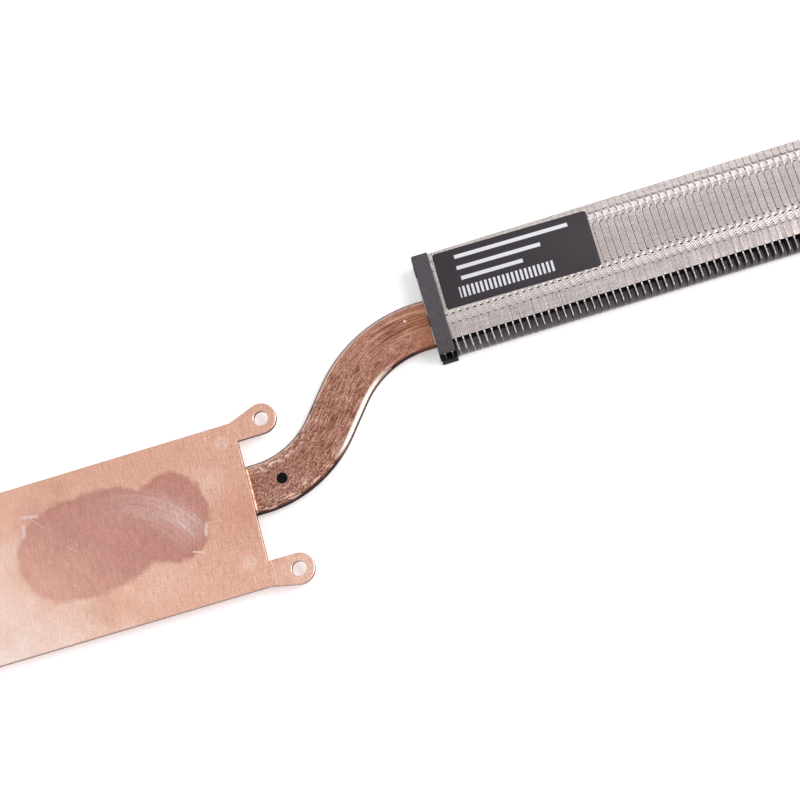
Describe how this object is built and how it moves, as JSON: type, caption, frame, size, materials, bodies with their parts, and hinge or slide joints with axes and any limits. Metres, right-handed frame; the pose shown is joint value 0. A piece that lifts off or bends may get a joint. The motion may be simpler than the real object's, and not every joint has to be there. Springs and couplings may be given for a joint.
{
  "type": "laptop heatsink module",
  "caption": "Flat copper cold plate with screw lugs, joined by an S-bent flattened heat pipe to a long stack of zipper-locked metal fins with foam seals and a black label.",
  "frame": {"origin": "centre of the four screw holes, in the plane of the cold plate's contact face", "axes": "+Z out of the contact face, +X along the plate towards the fin stack"},
  "size_m": [0.1688, 0.05, 0.006],
  "materials": {
    "plate_copper": "brushed copper sheet",
    "pipe_copper": "tarnished drawn copper",
    "fin_sheet": "nickel-plated sheet",
    "foam": "closed-cell foam",
    "label_film": "satin film"
  },
  "bodies": {
    "root": {"base_plate": "plate_copper", "fin_01": "fin_sheet", "fin_02": "fin_sheet", "fin_03": "fin_sheet", "fin_04": "fin_sheet", "fin_05": "fin_sheet", "fin_06": "fin_sheet", "fin_07": "fin_sheet", "fin_08": "fin_sheet", "fin_09": "fin_sheet", "fin_10": "fin_sheet", "fin_11": "fin_sheet", "fin_12": "fin_sheet", "fin_13": "fin_sheet", "fin_14": "fin_sheet", "fin_15": "fin_sheet", "fin_16": "fin_sheet", "fin_17": "fin_sheet", "fin_18": "fin_sheet", "fin_19": "fin_sheet", "fin_20": "fin_sheet", "fin_21": "fin_sheet", "fin_22": "fin_sheet", "fin_23": "fin_sheet", "fin_24": "fin_sheet", "fin_25": "fin_sheet", "fin_26": "fin_sheet", "fin_27": "fin_sheet", "fin_28": "fin_sheet", "fin_29": "fin_sheet", "fin_30": "fin_sheet", "fin_31": "fin_sheet", "fin_32": "fin_sheet", "fin_33": "fin_sheet", "fin_34": "fin_sheet", "fin_35": "fin_sheet", "fin_36": "fin_sheet", "fin_37": "fin_sheet", "fin_38": "fin_sheet", "fin_39": "fin_sheet", "fin_40": "fin_sheet", "fin_41": "fin_sheet", "fin_42": "fin_sheet", "fin_43": "fin_sheet", "fin_44": "fin_sheet", "fin_45": "fin_sheet", "fin_46": "fin_sheet", "fin_47": "fin_sheet", "fin_48": "fin_sheet", "fin_49": "fin_sheet", "fin_50": "fin_sheet", "fin_51": "fin_sheet", "fin_52": "fin_sheet", "fin_53": "fin_sheet", "fin_54": "fin_sheet", "fin_55": "fin_sheet", "foam_strip_bottom": "foam", "foam_strip_top": "foam", "heat_pipe": "pipe_copper", "label": "label_film"}
  },
  "joints": []
}
